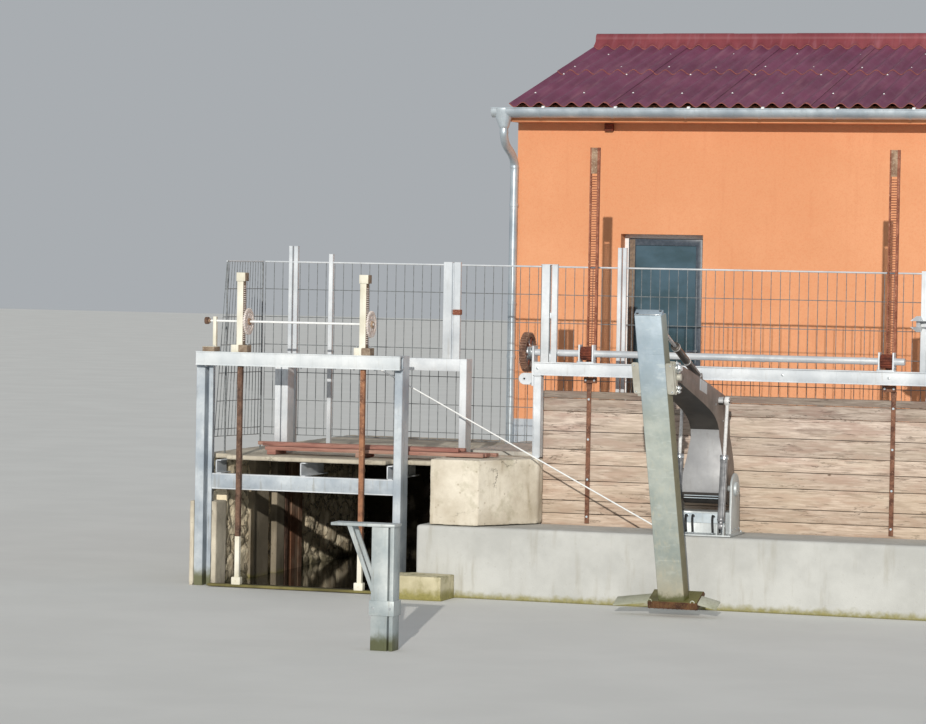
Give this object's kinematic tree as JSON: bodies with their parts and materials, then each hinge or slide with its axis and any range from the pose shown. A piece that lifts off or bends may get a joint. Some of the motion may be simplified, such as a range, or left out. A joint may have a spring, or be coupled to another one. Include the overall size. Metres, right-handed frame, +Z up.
{
  "type": "small hydropower station with intake gate and rack cleaner",
  "caption": "Stuccoed powerhouse with a pitched roof behind a concrete intake with a rack-lifted gate, a hydraulic trash-rack cleaning arm and a side sluice.",
  "frame": {"origin": "middle of the breast wall's underside, on the level floor at water height", "axes": "+Z up, +X to the right along the intake as seen from the water, +Y from the water towards the powerhouse"},
  "size_m": [9, 14.99, 6.2383],
  "materials": {
    "stucco": "matte",
    "concrete": "matte",
    "rock": "matte",
    "roofing": "satin",
    "zinc": "satin",
    "galvanised": "satin",
    "light_steel": "satin",
    "rust": "matte",
    "timber": "matte",
    "arm_grey": "satin",
    "cream": "satin",
    "white_frame": "satin",
    "glass": "polished"
  },
  "bodies": {
    "station": {"house_base": "concrete", "house_floor": "concrete", "front_wall_left": "stucco", "front_wall_right": "stucco", "front_wall_over_door": "stucco", "back_wall": "stucco", "left_gable_wall": "stucco", "right_gable_wall": "stucco", "roof_front": "roofing", "roof_back": "roofing", "eave_soffit": "stucco", "ridge_cap": "roofing", "gutter": "zinc", "downpipe": "zinc", "door_frame": "white_frame", "breast_wall": "concrete", "left_pier": "concrete", "right_pier": "concrete", "channel_deck": "concrete", "front_plinth": "concrete", "hoist_beam": "light_steel", "left_gate_post": "light_steel", "right_gate_post": "light_steel", "left_shaft_bearing": "light_steel", "right_shaft_bearing": "light_steel", "arm_pedestal": "light_steel", "left_abutment": "concrete", "rubble_wall": "rock", "channel_end_wall": "concrete", "channel_invert": "concrete", "sluice_deck": "concrete", "deck_boards": "rust", "sluice_front_frame": "light_steel", "sluice_rear_frame": "light_steel", "left_rack_hoist": "cream", "right_rack_hoist": "cream", "crank_stand": "cream", "fence_left": "galvanised", "fence_right": "galvanised", "fence_side": "galvanised", "guide_post": "galvanised"},
    "gate": {"timber_gate": "timber", "left_rack": "rust", "right_rack": "rust"},
    "hoist": {"hoist_shaft": "galvanised", "gear_wheel": "rust"},
    "boom": {"arm_boom": "arm_grey"},
    "stick": {"arm_stick": "galvanised", "stick_bracket": "galvanised", "rake_head": "galvanised"},
    "lift_barrels": {"left_lift_barrel": "arm_grey", "right_lift_barrel": "arm_grey"},
    "lift_rods": {"left_lift_rod": "galvanised", "right_lift_rod": "galvanised"},
    "tilt_barrel": {"tilt_barrel": "arm_grey"},
    "tilt_rod": {"tilt_rod": "galvanised"},
    "sluice": {"sluice_gate": "rust"},
    "sluice_drive": {"sluice_shaft": "galvanised"},
    "door": {"door_leaf": "white_frame", "door_glass": "glass"}
  },
  "joints": [
    {"name": "gate_lift", "type": "slide", "parent": "station", "child": "gate", "axis": [0, 0, 1], "range_m": [-1.45, 0.1]},
    {"name": "hoist_turn", "type": "hinge", "parent": "station", "child": "hoist", "pos_m": [0, 0.335, 2.541], "axis": [1, 0, 0], "range_deg": [-1150, 85]},
    {"name": "boom_lift", "type": "hinge", "parent": "station", "child": "boom", "pos_m": [-0.2, -0.01, 1.212], "axis": [-1, 0, 0], "range_deg": [-20, 8]},
    {"name": "lift_barrel_turn", "type": "hinge", "parent": "station", "child": "lift_barrels", "pos_m": [-0.2, -0.34, 0.85], "axis": [-1, 0, 0], "range_deg": [-15, 7]},
    {"name": "lift_rod_slide", "type": "slide", "parent": "lift_barrels", "child": "lift_rods", "axis": [0, 0.1376, 0.9905], "range_m": [-0.112, 0.05]},
    {"name": "stick_swing", "type": "hinge", "parent": "boom", "child": "stick", "pos_m": [-0.2, -1.85, 2.44], "axis": [-1, 0, 0], "range_deg": [0, 30]},
    {"name": "tilt_barrel_turn", "type": "hinge", "parent": "boom", "child": "tilt_barrel", "pos_m": [-0.2, -0.465, 2.367], "axis": [-1, 0, 0], "range_deg": [-1, 7]},
    {"name": "tilt_rod_slide", "type": "slide", "parent": "tilt_barrel", "child": "tilt_rod", "axis": [0, -0.9443, 0.3292], "range_m": [-0.245, 0.01]},
    {"name": "sluice_lift", "type": "slide", "parent": "station", "child": "sluice", "axis": [0, 0, 1], "range_m": [0, 0.7]},
    {"name": "sluice_drive_turn", "type": "hinge", "parent": "station", "child": "sluice_drive", "pos_m": [-4.7, -0.4, 2.805], "axis": [1, 0, 0], "range_deg": [-2010, 5]},
    {"name": "door_swing", "type": "hinge", "parent": "station", "child": "door", "pos_m": [-1.951, 3.17, 1.5], "axis": [0, 0, 1], "range_deg": [0, 90]}
  ],
  "couplings": [
    {"joint": "hoist_turn", "follows": "gate_lift", "rad_per_m": 13.793},
    {"joint": "lift_barrel_turn", "follows": "boom_lift", "ratio": 0.695},
    {"joint": "lift_rod_slide", "follows": "boom_lift", "m_per_rad": 0.309},
    {"joint": "tilt_barrel_turn", "follows": "stick_swing", "ratio": 0.178},
    {"joint": "tilt_rod_slide", "follows": "stick_swing", "m_per_rad": -0.454},
    {"joint": "sluice_drive_turn", "follows": "sluice_lift", "rad_per_m": -50}
  ]
}
